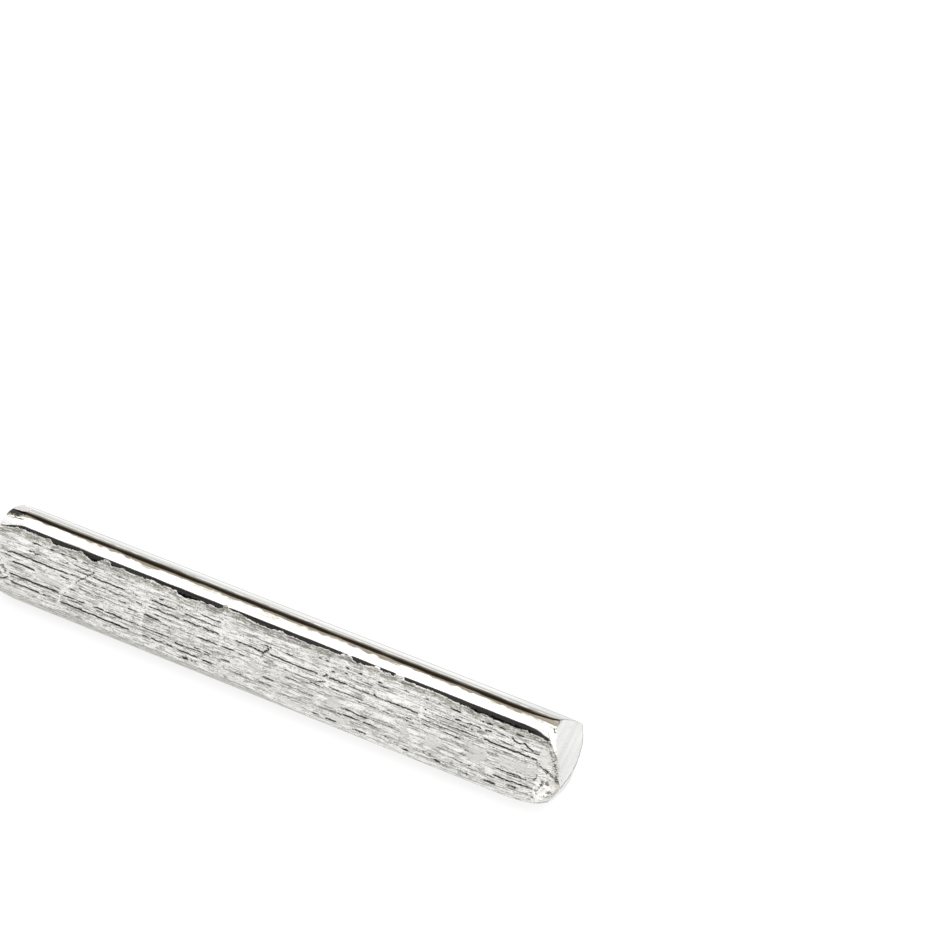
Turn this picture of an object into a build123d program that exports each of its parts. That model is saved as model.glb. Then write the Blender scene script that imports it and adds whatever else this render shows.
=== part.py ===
from build123d import *
import math
import os

# A small bar of cast tin, in millimetres.
# The metal was poured into an open, tapered trough and its free face was skimmed
# along the bar. The bar was then cropped to length between two wedge blades,
# which drew each end in before they parted it along a bowed ridge.
# It lies as it does in use: on one of its mould sides, with the wide free face
# leaning back a little and looking to -Y. X runs along the bar, +Z is up.

# The whole bar
ridge_to_ridge = 100.0

# The trough section
free_face_width = 16.7
casting_depth = 10.3
mould_draft = 20.0

# The molten metal did not wet the mould, so the free face bends down to the
# mould sides. A bend starts this far from the sharp corner on either side of it.
bend_on_free_face = 4.0
bend_on_mould_side = 5.9
mould_corner_bend = 2.6

# The cropped ends. A ridge angle is measured in the section, from the floor up
# towards the back. A meeting share says how far up the section the blades met.
right_ridge_angle = 27.0
right_meeting_share = 0.44
left_ridge_angle = 34.0
left_meeting_share = 0.55

# The facets that the blades left, and the torn land between them. The metal
# crept outwards most in the middle, so the ridge is an arc of this radius. Its
# furthest point lies this share of the way along the ridge, from the low end.
blade_half_angle = 17.5
blade_hollow = 0.25
ridge_land = 0.5
ridge_bow = 12.5
bow_centre = 0.55

# Each end is drawn in along its ridge: over this length of bar, and by this share
# of the section's width at the ridge. The low edge moves most.
right_draw_reach = 8.4
right_narrowing = 0.3
left_draw_reach = 6.0
left_narrowing = 0.19
narrowing_centre = 0.9

# The share of the drawing in that grows evenly from where it starts, which leaves
# a faint crease there. The rest grows steeply towards the ridge.
even_share = 0.15

# Sections drawn between the ridge and the sound bar
draw_stations = 6


def trough_bends():
    """The four bends of the section, each as its start, sharp corner and end."""
    draft = math.radians(mould_draft)
    mould_side = casting_depth / math.cos(draft)
    mould_floor = free_face_width - 2 * casting_depth * math.tan(draft)
    up_free_face = Vector(0, math.sin(draft), math.cos(draft))
    down_upper_side = Vector(0, math.cos(2 * draft), -math.sin(2 * draft))
    along_floor = Vector(0, 1, 0)

    low_edge = Vector(0, 0, 0)
    high_edge = up_free_face * free_face_width
    low_corner = along_floor * mould_side
    high_corner = low_corner + up_free_face * mould_floor

    def bend(corner, towards_start, start_setback, towards_end, end_setback):
        start = corner + towards_start * start_setback
        end = corner + towards_end * end_setback
        return start, corner, end

    return [
        bend(low_edge, along_floor, bend_on_mould_side, up_free_face, bend_on_free_face),
        bend(high_edge, -up_free_face, bend_on_free_face, down_upper_side, bend_on_mould_side),
        bend(high_corner, -down_upper_side, mould_corner_bend, -up_free_face, mould_corner_bend),
        bend(low_corner, up_free_face, mould_corner_bend, -along_floor, mould_corner_bend),
    ]


def section_face(bends, x):
    """The section's face at x: its four bends joined by the four flats."""
    placed = [[point + Vector(x, 0, 0) for point in bend] for bend in bends]
    outline = Curve()
    for bend, next_bend in zip(placed, placed[1:] + placed[:1]):
        outline += Bezier(*bend)
        outline += Line(bend[-1], next_bend[0])
    return make_face(outline)


class Blades:
    """Where the two blades met at one end, seen in the section."""

    def __init__(self, bends, ridge_angle, meeting_share):
        turn = math.radians(ridge_angle)
        self.along_ridge = Vector(0, math.cos(turn), math.sin(turn))
        self.up_stroke = Vector(0, -math.sin(turn), math.cos(turn))
        corners = [corner for _, corner, _ in bends]
        heights = [corner.dot(self.up_stroke) for corner in corners]
        places = [corner.dot(self.along_ridge) for corner in corners]
        self.opening = max(heights) - min(heights)
        self.width = max(places) - min(places)
        self.ridge_height = min(heights) + meeting_share * self.opening
        self.still_place = min(places) + narrowing_centre * self.width
        self.bow_place = min(places) + bow_centre * self.width

    def drawn_in(self, bends, narrowing):
        """The bends drawn in along the ridge by the given share."""

        def moved(point):
            offset = point.dot(self.along_ridge) - self.still_place
            return point - self.along_ridge * (offset * narrowing)

        return [[moved(point) for point in bend] for bend in bends]

    def wedge_form(self, inwards):
        """What the wedge blades leave at this end, as a long solid.

        inwards is +1 at the left end and -1 at the right end. The profile is drawn
        with its first axis inwards from the ridge and its second up the stroke. It
        is turned about the bow's axis, and a slab carries the full opening onwards.
        """
        facet_reach = self.opening * math.tan(math.radians(blade_half_angle))
        ridge = Vector(0, ridge_land / 2)
        flare = Vector(facet_reach, self.opening)
        bite = flare - ridge
        hollow = Vector(bite.Y, -bite.X).normalized() * blade_hollow
        upper_facet = ThreePointArc(ridge, (ridge + flare) * 0.5 + hollow, flare)
        lower_facet = upper_facet.mirror(Plane.XZ)
        profile = upper_facet + lower_facet
        profile += Line(upper_facet @ 0, lower_facet @ 0)
        profile += Polyline(
            upper_facet @ 1,
            (ridge_bow, self.opening),
            (ridge_bow, -self.opening),
            lower_facet @ 1,
        )
        ridge_middle = Vector(-inwards * ridge_to_ridge / 2, 0, 0)
        ridge_middle += self.up_stroke * self.ridge_height + self.along_ridge * self.bow_place
        blade_plane = Plane(
            origin=ridge_middle, x_dir=(inwards, 0, 0), z_dir=self.along_ridge * -inwards
        )
        bow_axis = Axis(blade_plane.from_local_coords((ridge_bow, 0, 0)), self.up_stroke)
        bowed_wedge = revolve(blade_plane * make_face(profile), bow_axis)
        slab = Pos(ridge_bow + ridge_to_ridge / 2, 0, 0) * Box(
            ridge_to_ridge, 2 * self.opening, 4 * self.width
        )
        return bowed_wedge + blade_plane * slab


def drawn_end(bends, blades, inwards, reach, narrowing):
    """The stretch of bar from the ridge to the sound section, before it is cut."""
    sections = []
    for station in range(draw_stations + 1):
        nearness = 1 - station / draw_stations
        draw = even_share * nearness + (1 - even_share) * nearness**4
        x = inwards * (reach * (1 - nearness) - ridge_to_ridge / 2)
        sections.append(section_face(blades.drawn_in(bends, narrowing * draw), x))
    return loft(sections)


def tin_ingot():
    """The cast and cropped bar, its origin in the middle of its underside."""
    bends = trough_bends()
    left = Blades(bends, left_ridge_angle, left_meeting_share)
    right = Blades(bends, right_ridge_angle, right_meeting_share)
    sound_length = ridge_to_ridge - left_draw_reach - right_draw_reach
    sound_start = section_face(bends, left_draw_reach - ridge_to_ridge / 2)

    bar = extrude(sound_start, sound_length, dir=(1, 0, 0))
    bar += drawn_end(bends, left, 1, left_draw_reach, left_narrowing)
    bar += drawn_end(bends, right, -1, right_draw_reach, right_narrowing)
    bar &= left.wedge_form(1)
    bar &= right.wedge_form(-1)
    box = bar.bounding_box()
    return Pos(-box.center().X, -box.center().Y, -box.min.Z) * bar


os.makedirs("parts", exist_ok=True)
export_step(tin_ingot(), "parts/tin_ingot.step")
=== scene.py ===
import math

import bmesh
import bpy
import numpy as np
from mathutils import Matrix, Vector


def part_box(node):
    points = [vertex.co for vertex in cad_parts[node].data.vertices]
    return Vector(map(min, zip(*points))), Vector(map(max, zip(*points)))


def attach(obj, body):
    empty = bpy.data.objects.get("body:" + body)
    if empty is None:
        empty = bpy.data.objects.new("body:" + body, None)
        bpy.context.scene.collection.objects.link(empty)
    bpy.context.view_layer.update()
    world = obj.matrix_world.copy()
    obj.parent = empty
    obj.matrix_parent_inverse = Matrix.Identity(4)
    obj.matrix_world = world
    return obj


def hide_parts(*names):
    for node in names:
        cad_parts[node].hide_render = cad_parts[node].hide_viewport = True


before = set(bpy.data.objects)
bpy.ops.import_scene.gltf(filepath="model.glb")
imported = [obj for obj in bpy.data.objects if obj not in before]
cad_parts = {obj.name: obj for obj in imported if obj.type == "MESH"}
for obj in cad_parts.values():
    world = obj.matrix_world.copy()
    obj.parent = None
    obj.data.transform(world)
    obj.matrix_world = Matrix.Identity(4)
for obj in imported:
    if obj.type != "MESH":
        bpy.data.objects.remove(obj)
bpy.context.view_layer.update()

bl_info = {
    "name": "Cast tin ingot",
    "version": (1, 0, 0),
    "blender": (4, 5, 0),
    "location": "View3D > Sidebar > Ingot",
    "description": "Builds a small cast and cropped tin bar with its skimmed skin",
    "category": "Add Mesh",
}

MM = 0.001
BAR_LOW, BAR_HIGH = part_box("tin_ingot")


def length(name, description, millimetres):
    """A length property, shown in the scene's unit and stored in metres."""
    return bpy.props.FloatProperty(
        name=name,
        description=description,
        default=millimetres * MM,
        subtype="DISTANCE",
        unit="LENGTH",
        precision=5,
    )


def angle(name, description, degrees):
    """An angle property, shown in degrees and stored in radians."""
    return bpy.props.FloatProperty(
        name=name, description=description, default=math.radians(degrees), subtype="ANGLE", unit="ROTATION"
    )


def share(name, description, default):
    """A plain number property."""
    return bpy.props.FloatProperty(name=name, description=description, default=default)


def colour(name, description, default):
    """A colour property in linear red, green and blue."""
    return bpy.props.FloatVectorProperty(
        name=name, description=description, default=default, size=3, min=0.0, max=1.0, subtype="COLOR"
    )


class IngotSection(bpy.types.PropertyGroup):
    """The trough section that the metal froze in."""

    free_face_width: length("Free face width", "Width of the open, skimmed face", 16.7)
    casting_depth: length("Casting depth", "From the free face to the mould's floor", 10.3)
    mould_draft: angle("Mould draft", "Slope of each mould side", 20.0)
    bend_on_free_face: length("Bend on the free face", "Setback of the bend on that face", 4.0)
    bend_on_mould_side: length("Bend on the mould side", "Setback of the bend on that side", 5.9)
    mould_corner_bend: length("Mould corner bend", "Setback of the two mould corners", 2.6)


class IngotEnds(bpy.types.PropertyGroup):
    """The two cropped ends."""

    right_ridge_angle: angle("Right ridge angle", "Slope of the right ridge in the section", 27.0)
    right_meeting_share: share("Right meeting share", "How far up the section the blades met", 0.44)
    right_draw_reach: length("Right draw reach", "Length of bar drawn in at the right", 8.4)
    right_narrowing: share("Right narrowing", "Share of the width taken at the ridge", 0.3)
    left_ridge_angle: angle("Left ridge angle", "Slope of the left ridge in the section", 34.0)
    left_meeting_share: share("Left meeting share", "How far up the section the blades met", 0.55)
    left_draw_reach: length("Left draw reach", "Length of bar drawn in at the left", 6.0)
    left_narrowing: share("Left narrowing", "Share of the width taken at the ridge", 0.19)
    narrowing_centre: share("Narrowing centre", "Place along the ridge that stays put", 0.9)
    even_share: share("Even share", "Share of the drawing in that grows evenly", 0.15)
    blade_half_angle: angle("Blade half angle", "Half of the wedge that a blade cuts", 17.5)
    blade_hollow: length("Blade hollow", "How far a facet is hollowed", 0.25)
    ridge_land: length("Ridge land", "Width of the torn land along the ridge", 0.5)
    ridge_bow: length("Ridge bow", "Radius of the bowed ridge", 12.5)
    bow_centre: share("Bow centre", "Place along the ridge that stands out furthest", 0.55)


class IngotSkin(bpy.types.PropertyGroup):
    """The relief of the skimmed free face."""

    skin_bottom: length("Skin bottom", "Where the skin starts at the left, up the section", 6.3)
    skin_height: length("Skin height", "How far the skin stands over the clean metal", 0.03)
    shelf_drop: length("Shelf drop", "Drop at the strongest drag line", 0.11)
    fold_height: length("Fold height", "Height of the fine folds between the drag lines", 0.02)
    crumple_height: length("Crumple height", "Height of the crumpled metal by the low corners", 0.3)
    dent_depth: length("Dent depth", "How far the upper bend is pushed in at the right", 0.62)
    roll_depth: length("Roll depth", "How far the right facet's edge is rolled over", 0.3)
    seed: bpy.props.IntProperty(name="Seed", description="Picks the pattern of the folds", default=7)


class IngotFinish(bpy.types.PropertyGroup):
    """Colours of the metal, some of them also used for painted shade, painted dark reflections and painted
    highlights.
    """

    bright_tin: colour("Bright tin", "Clean metal", (0.90, 0.89, 0.86))
    skin_tin: colour("Skin tin", "Dull skin of the free face", (0.93, 0.92, 0.88))
    olive_tarnish: colour("Olive tarnish", "Oxide by the skin's upper edge", (0.40, 0.395, 0.33))
    # Brown tarnish, also painted as the dark reflection behind the upper bend
    brown_tarnish_and_reflection: colour("Brown tarnish", "Thick oxide behind the upper bend", (0.20, 0.17, 0.125))
    # Pale tin also colours the painted highlights beside the facets
    pale_tin: colour("Pale tin", "Freshly torn or rubbed metal", (0.98, 0.975, 0.96))
    # Crumpled metal, painted near white as a painted highlight over its relief
    crumpled_tin: colour("Crumpled tin", "Crumpled metal by the low corners", (0.97, 0.94, 0.91))
    # Dark oxide and painted groove shade at the drag lines and seams, and the painted dark reflection at
    # the foot of the bright bend and at the left tip
    seam_dross_and_painted_shade: colour("Seam dross", "Dark oxide at the drag lines", (0.025, 0.024, 0.022))


class IngotStage(bpy.types.PropertyGroup):
    """Floor, light and camera."""

    view_azimuth: angle("View azimuth", "Camera's turn round the bar", 30.125)
    view_elevation: angle("View elevation", "Camera's height over the floor", 40.0)
    view_distance: length("View distance", "From the camera to the bar", 708.46)
    lens: bpy.props.FloatProperty(name="Lens", description="Focal length in millimetres", default=181.984)
    floor_size: length("Floor size", "Side of the square floor", 4000.0)
    floor_colour: colour("Floor colour", "Matt pale floor", (0.24, 0.24, 0.24))
    floor_glow: share("Floor glow", "Light from the floor, which thins the shadows", 0.76)


# The photo's side in pixels, and where the bar's centre falls in it
IMAGE_SIZE = 944
BAR_CENTRE_PIXEL = (280.585, 646.444)
BAR_CENTRE_HEIGHT = 7.0 * MM
SENSOR_WIDTH = 36.0
CLIP_START = 0.01
CLIP_END = 20.0

# The room's colours by elevation in degrees, before the bar and behind it. They
# stop at the right, where the room is white all the way down.
FRONT_BELTS = (
    (0, (0.55, 0.54, 0.50)),
    (2.5, (0.40, 0.39, 0.36)),
    (4.5, (0.03, 0.03, 0.03)),
    (35, (0.025, 0.025, 0.025)),
    (37.5, (0.9, 0.9, 0.9)),
    (42, (1.0, 1.0, 1.0)),
)
BACK_BELTS = (
    (0, (0.35, 0.34, 0.32)),
    (6, (0.10, 0.09, 0.08)),
    (14, (0.04, 0.035, 0.03)),
    (29, (0.05, 0.04, 0.03)),
    (32.5, (0.9, 0.88, 0.84)),
    (40, (1.0, 1.0, 1.0)),
)
ROOM_STRENGTH = 1.62
BACKDROP = (0.95, 0.95, 0.95)

# Grains of the metal: grains to the metre along each axis, then the detail
GRAINS = {
    "dashes": ((650.0, 4400.0, 4400.0), 2.0),
    "specks": ((3000.0, 5200.0, 5200.0), 1.0),
    "threads": ((170.0, 5600.0, 5600.0), 1.0),
    "mottle": ((500.0, 900.0, 900.0), 3.0),
    "sweep": ((300.0, 500.0, 500.0), 1.0),
    "streaks": ((70.0, 2200.0, 2200.0), 2.0),
    "flakes": ((1200.0, 1700.0, 1700.0), 3.0),
    "bands": ((35.0, 380.0, 380.0), 1.0),
}

# Tones that go with the colours of the panel. A pair is mixed by a grain.
SWEEP_TONE = (0.62, 0.61, 0.57)
# The flank: painted grey with streaks, a painted dimmer reflection. Its foot: a painted dark reflection
# fading upwards
FLANK_TONES = ((0.44, 0.435, 0.41), (0.80, 0.80, 0.78))
FOOT_TONES = ((0.10, 0.10, 0.09), (0.50, 0.50, 0.48))
# Painted shade on the sole of the low bend
SOLE_TONES = ((0.33, 0.325, 0.30), (0.60, 0.595, 0.56))
FACET_TONES = ((0.66, 0.66, 0.65), (0.77, 0.77, 0.76))
# Painted shade along the upper outline
OUTLINE_TONE = (0.22, 0.22, 0.21)
WARM_TONE = (0.34, 0.32, 0.25)
# Painted shade in the cracks of the crumpled metal
CRACK_TONE = (0.20, 0.19, 0.17)
# Dark lines at the facet borders and ridges: burr with painted shade
RIM_TONE = (0.2, 0.2, 0.19)
# Grey fringe round the oxide, the painted groove shade and the painted dark reflections
FRINGE_TONE = (0.3, 0.29, 0.28)

# The unit direction across the blade's strokes, and the strokes to the metre
ACROSS_STROKES = (0.873, 0.174, -0.342)
STROKES_PER_METRE = 1500.0

BUMP_DISTANCE = 0.13 * MM
WELD_DISTANCE = 0.002 * MM
CREASE_ANGLE = math.radians(45)


# Features of the free face, read from the photo in millimetres. The first number
# of a pair is the place along the bar. The second is the place up the section,
# measured along the outline from the foot of the low bend.

# Upper edge of the skin
SKIN_EDGE = (
    (-50, 15.2), (-47, 16.25), (-46, 16.6), (-45, 16.9), (-44, 17), (-40, 17), (-39, 17.1), (-38.2, 16.5),
    (-37.5, 16.75), (-34.5, 16.9), (-33.3, 17.1), (-32.5, 16.8), (-31.5, 16.35), (-31, 16.3),
    (-30, 16.75), (-29.3, 17.35), (-28.3, 17.2), (-28, 16.75), (-26, 17), (-24.5, 16.7), (-23, 16.85),
    (-22, 16.8), (-21, 17), (-19, 16.8), (-18, 17), (-16.4, 16.9), (-16, 16.5), (-15, 16.4), (-12, 16.7),
    (-9, 16.8), (-8.3, 16.9), (-8.1, 17.6), (-7.4, 17.6), (-7.3, 17.2), (-5, 17.1), (-4, 16.85),
    (-1, 16.8), (0, 16.65), (1, 16.9), (2, 17.05), (3, 16.85), (5, 16.9), (7, 16.75), (9, 16.95),
    (12, 16.95), (12.5, 17.3), (13.5, 17.3), (14.4, 16.8), (16, 16.85), (18, 17.2), (19.2, 16.95),
    (20, 17.1), (21, 16.95), (21.7, 17.35), (22.6, 17.3), (23, 17), (26, 16.95), (28.5, 17.05),
    (30.7, 16.85), (32, 16.7), (34.3, 16.6), (35, 16.4), (36, 16.6), (38.5, 16.4), (39, 16.3), (41, 16.4),
    (42.3, 16.35), (43, 16.7), (44, 16.5), (45, 16.35), (46, 16.1), (46.9, 15.9), (50, 15.6),
)

# Drag lines: where each starts and ends along the bar, its place up the section
# and its strength
DRAG_LINES = (
    (-42, -40.3, 15.6, 0.8), (-38.8, -38, 15.6, 0.9), (-36.8, -36, 15.6, 0.7), (-35.3, -33.9, 15.6, 0.7),
    (-32.8, -31.8, 15.6, 0.7), (-28, -24.5, 15.6, 0.3), (-19, -17, 15.5, 0.3), (8.6, 9.3, 15.3, 0.7),
    (9.9, 10.5, 15.3, 0.9), (13.2, 14, 15.45, 0.7), (15.4, 16.1, 15.3, 0.8), (17, 17.5, 15.3, 0.4),
    (18.7, 19.6, 15.2, 0.8), (23, 24, 15.5, 0.5), (26.9, 27.4, 15.5, 0.8), (28.9, 29.4, 15.5, 0.8),
    (31, 32.9, 15.5, 0.9), (35.1, 35.6, 15.5, 0.6), (36.2, 36.7, 15.45, 0.8), (37, 38.1, 15.5, 0.9),
    (39, 40.2, 15.6, 0.6), (42, 43.3, 15.55, 0.8), (-34.3, -31, 14.6, 0.4), (-19.1, -18.2, 14.65, 0.7),
    (-16.3, -14.7, 14.65, 0.4), (-14.5, -12.8, 14.65, 0.4), (-11.7, -8, 14.7, 0.6), (2.2, 2.9, 14.6, 0.5),
    (13.3, 13.9, 14.5, 0.7), (15.7, 16.3, 14.5, 0.5), (19, 20.9, 14.7, 0.5), (32, 33.3, 14.3, 0.8),
    (30.8, 32, 14.35, 0.4), (33.9, 36.7, 14.3, 0.6), (39.2, 41, 14.6, 0.5), (-39, -31.5, 13.85, 0.35),
    (-30.7, -25, 13.85, 0.8), (-25, -22, 13.85, 0.4), (-20.4, -15.8, 13.9, 0.8), (-14.5, -7.5, 13.8, 0.5),
    (-6.3, -1.5, 13.9, 0.25), (-1.2, 0.5, 13.9, 0.4), (3, 4.6, 13.9, 0.5), (4.6, 9, 13.9, 0.2),
    (11, 11.8, 14, 0.8), (13, 18.2, 13.95, 0.35), (16.5, 18, 14.25, 0.3), (26.8, 27.4, 13.9, 0.7),
    (28.8, 37, 13.65, 0.4), (39.5, 42, 13.6, 0.5), (43, 46.3, 13.5, 0.45), (-46.3, -45.3, 12.6, 0.6),
    (-45.5, -35, 12.8, 0.85), (-35, -33, 12.85, 0.5), (-32, -21, 12.75, 0.4), (-20.7, -15, 12.8, 0.6),
    (-14.5, -8, 12.8, 0.7), (-5.4, -2.3, 12.85, 0.7), (-2.4, -0.4, 12.75, 0.95), (0.7, 9, 12.75, 0.8),
    (10.8, 14, 12.8, 0.95), (14, 20.5, 12.8, 0.45), (20.5, 26.1, 12.8, 0.75), (27, 31, 12.75, 0.4),
    (31, 37, 12.8, 0.5), (37, 43.2, 12.85, 1), (43, 44.7, 12.7, 0.9), (44.9, 45.8, 12.55, 0.9),
    (26.5, 33, 12.15, 0.45), (33, 42, 12.2, 0.3), (-46.5, -45, 12, 0.4), (-36.3, -34.6, 12, 0.7),
    (-25.8, -24.3, 11.9, 0.5), (-19.7, -16, 11.9, 0.4), (-14.5, -8, 12, 0.2), (-45, -40.7, 11.35, 0.95),
    (-33, -31.8, 11.3, 0.6), (-31.8, -25, 11.2, 0.3), (-24.2, -22, 11.2, 0.5), (-21.3, -18.4, 11.2, 0.9),
    (-14.7, -11.7, 11.1, 0.4), (-11.7, -8.1, 11.1, 0.7), (-7.6, -5.2, 11.1, 0.85),
    (-4.7, -3.2, 11.05, 0.5), (0, 9, 11.4, 0.3), (11, 17.2, 11.4, 0.5), (21, 22.5, 11.45, 0.4),
    (24.3, 25.4, 11.5, 0.6), (27, 28.4, 11.4, 0.6), (30.6, 33.6, 11.5, 0.6), (38, 39.4, 11.05, 0.4),
    (8, 10.4, 10.95, 0.6), (14, 26, 11, 0.35), (-33, -28, 10.9, 0.3), (-34.4, -33.2, 10.65, 0.5),
    (3.8, 6.6, 10.3, 0.5), (31, 33.6, 10.5, 0.3), (-37.1, -35.9, 10, 0.4), (-45.2, -36.2, 9.3, 0.85),
    (-45, -41.5, 8.95, 0.5), (-35.4, -31.4, 9.25, 0.7), (-34.5, -31.8, 8.85, 0.5), (-29.8, -28, 9.3, 0.8),
    (-27.7, -24.7, 9.25, 0.9), (-29.5, -25.5, 8.85, 0.4), (-25, -16, 9.2, 0.5), (-15.4, -9, 8.8, 0.55),
    (-12, -9, 9.2, 0.6), (-7.3, -5.6, 9.15, 0.6), (0, 2.3, 8.9, 0.5), (2.3, 9.3, 9.1, 0.35),
    (13.6, 18.4, 8.95, 0.6), (18.4, 24, 9, 0.3), (32.4, 35, 9.25, 0.35), (39.6, 44, 9.2, 0.65),
    (42, 45, 8.95, 0.4), (-44.8, -39.4, 8.1, 0.65), (-39, -36, 8.1, 0.5), (-35.6, -31.8, 8.05, 0.7),
    (-32.3, -23.2, 7.95, 0.85), (-21, -15.3, 7.95, 0.6), (-15, -11, 7.85, 0.65), (-10.3, -8.6, 7.75, 0.8),
    (-4.6, -3.1, 7.8, 0.4), (-0.5, 2, 7.95, 0.4), (10, 14.3, 7.9, 0.35), (14.2, 16.1, 8, 1),
    (16, 20.5, 8.05, 0.6), (26, 28, 8.1, 0.3), (33, 36, 8, 0.4), (39.5, 41.7, 8, 0.7),
    (41.7, 45.6, 7.95, 0.7), (38, 40, 7.55, 0.5), (26.4, 29.6, 7.25, 0.5), (31, 34, 7.3, 0.3),
    (41.4, 44.2, 7.25, 0.7), (-13.8, -11, 7.1, 0.6), (1, 4, 7.15, 0.4), (5.4, 8.4, 7.15, 0.45),
    (14.7, 17.4, 7.2, 0.6), (17.4, 19.5, 7.15, 0.35), (21, 24, 7.25, 0.5), (9.2, 10.5, 6.45, 0.9),
    (11, 13.4, 6.45, 0.7), (16, 18.6, 6.4, 0.5), (20.5, 21.2, 6.55, 0.7), (22.4, 24, 6.65, 0.7),
    (24.5, 26.6, 6.4, 0.6), (29.8, 31, 6.7, 0.8), (31.5, 32.6, 6.55, 0.6), (34, 36, 6.5, 0.8),
    (36.6, 38, 6.8, 0.5), (38, 40.3, 6.7, 0.6), (-38, -37, 6.4, 0.3), (-32.6, -31.5, 6.7, 0.3),
)

# Dark seams: strength, then the points of each
DARK_SEAMS = (
    (0.75, (-30.4, 14.8), (-31.3, 14), (-32.3, 13), (-33, 12.6), (-33.5, 12)),
    (0.9, (-42.2, 14), (-41.4, 14.25), (-41.1, 13.9), (-40.3, 14.15)),
    (0.6, (-36.9, 14.6), (-36.5, 14.4), (-35.9, 14.35), (-35.3, 14.5)),
    (0.5, (-18.5, 11.2), (-17.2, 10.95), (-16.6, 10.7), (-15.8, 10.65)),
    (0.35, (1.3, 15.3), (0.7, 14.8)),
    (0.95, (0.7, 14), (0.2, 13.3), (-0.5, 12.65)),
    (0.6, (-0.5, 12.2), (-0.8, 11.7)),
    (0.35, (11.2, 14), (10.6, 13.2)),
    (0.85, (10.6, 13.2), (10, 12.7)),
    (0.7, (10.4, 12), (9.9, 11.8), (9, 11.4)),
    (0.45, (8.2, 10.9), (6.6, 10.4)),
    (0.75, (18.4, 13.3), (18.8, 12.9), (19.3, 12.75)),
    (0.95, (41.4, 14.8), (42, 14.4), (42.9, 14.3), (43.6, 14.55), (44.1, 14.15), (45, 13.8)),
    (0.9, (37.2, 14.25), (38, 14.5)),
    (0.65, (45.7, 12), (46.5, 11.5), (47.3, 11.1)),
    (0.6, (43.8, 8.5), (43.9, 8.1), (44.3, 7.95)),
    (0.9, (45.9, 9.3), (46.2, 9.5)),
    (0.5, (46.2, 9.6), (46.2, 10.2)),
    (0.75, (47.1, 18.4), (47.3, 17.6), (47.75, 16.5), (48.2, 14.8)),
    (0.5, (46.8, 15.9), (47.3, 15.4), (47.8, 14.5), (48.2, 13.6), (48.5, 12), (49, 9.3)),
    (0.7, (46.6, 11.5), (47.1, 11.2), (47.8, 10.6), (48.5, 9.5), (49.2, 8)),
    (0.45, (44.7, 12.7), (45.7, 12.4), (46.5, 11.8), (47.6, 10.4)),
    (0.5, (47.2, 15), (47.9, 13.3), (48.4, 11.4), (48.8, 9.6), (49.3, 7.6)),
    (0.6, (-47.4, 17.9), (-46, 18.3), (-44.6, 18.5)),
    (0.8, (-47.2, 7.7), (-46.2, 7.9), (-45.4, 8.5)),
)

# Where the right facet's border runs, as the height of each point and its place
# along the bar
ROLLED_EDGE = ((7, 49.7), (8.4, 49.5), (10.6, 48.7), (14, 48.5), (16.3, 48), (18.2, 47.5), (20.1, 47))

# The bright wedge beside the right facet, a painted highlight, as heights and its width at each
RIGHT_WEDGE = ((13.5, 0.0), (14.5, 0.25), (15.5, 0.5), (16.2, 0.85), (17.2, 1.3))

# The lower edge of the painted highlight beside the left facet
LEFT_BRIGHT_EDGE = ((-50, 15.6), (-47, 16.5), (-46, 16.95), (-45, 17.25), (-44, 17.5))

# Pale seams, where the lines are broken off
PALE_SEAMS = (
    ((-20.3, 16), (-20.6, 14.5), (-21.2, 12.5), (-21.5, 9)),
    ((-7.8, 15.5), (-7.7, 12), (-7.6, 11)),
    ((-33.5, 12), (-34.9, 10.4), (-35.8, 9.5), (-35.9, 7.8)),
    ((-38, 15.3), (-38.6, 14.6), (-40.3, 14.8)),
    ((11.2, 15), (10.6, 12.4), (11, 11)),
    ((26.4, 15.5), (26.4, 13), (26.7, 11)),
)

# Smooth grey patches and rubbed bright ones: middle, then half length and half width
GREY_PATCHES = (
    (12.5, 9.3, 1.2, 0.8), (24.3, 9.8, 0.8, 1.4), (29, 9.3, 1.2, 1.4), (36.3, 10.2, 1.9, 1.1),
    (42.8, 10.6, 3.4, 0.9), (-1.6, 9.9, 1, 0.7), (-37.5, 10.6, 2.8, 0.5), (-43, 6.9, 3, 0.4),
    (13.5, 6.9, 2, 0.5), (5, 6.5, 2.5, 0.4), (-5.5, 6.6, 3, 0.4), (47, 12.8, 0.9, 1.6),
)
BRIGHT_PATCHES = (
    (25.8, 9.7, 1.1, 0.4), (26.6, 8.45, 0.9, 0.25), (28.5, 8.2, 0.8, 0.25), (31.8, 8.4, 1.3, 0.3),
    (33.6, 9.65, 1.1, 0.25), (10.3, 9.4, 0.9, 0.3), (16, 10, 2.4, 0.5), (21, 9.9, 2, 0.5),
    (35.5, 8.5, 1.6, 0.2), (38.5, 8.5, 1, 0.3), (-33, 8.5, 2, 0.2), (-37, 8.55, 1.6, 0.15),
    (-40.5, 8.55, 1.5, 0.2), (-5, 13.3, 2.4, 0.35), (5, 13.3, 3, 0.3), (3, 11.9, 2.2, 0.3),
    (22, 13.7, 2.2, 0.6), (-38.5, 15, 1, 0.35), (40.5, 15, 2.2, 0.25), (-43.5, 15.2, 1.8, 0.3),
)

# Crumpled metal by the low corners: middle, then half length and half width
CRUMPLED = ((47.3, 7.5, 1.7, 1.9), (-48.0, 9.5, 2.4, 1.8))

# Zones of plain metal round the section, as the places along its outline where
# each starts, is full, starts to fade and ends
ZONES = {
    # The flank is a painted dimmer reflection, and its foot a painted dark reflection
    "flanks": (20.9, 21.6, 30, 33),
    "flank_foot": (20.6, 20.9, 21.0, 22.8),
    # Painted shade on the sole
    "sole": (3.0, 4.0, 7.0, 7.6),
    # Painted shade along the upper outline
    "outline": (24.8, 25.8, 27.0, 28.0),
}

# Random heights along each side of the noise's lattice
LATTICE = 128


# Noise

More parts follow.
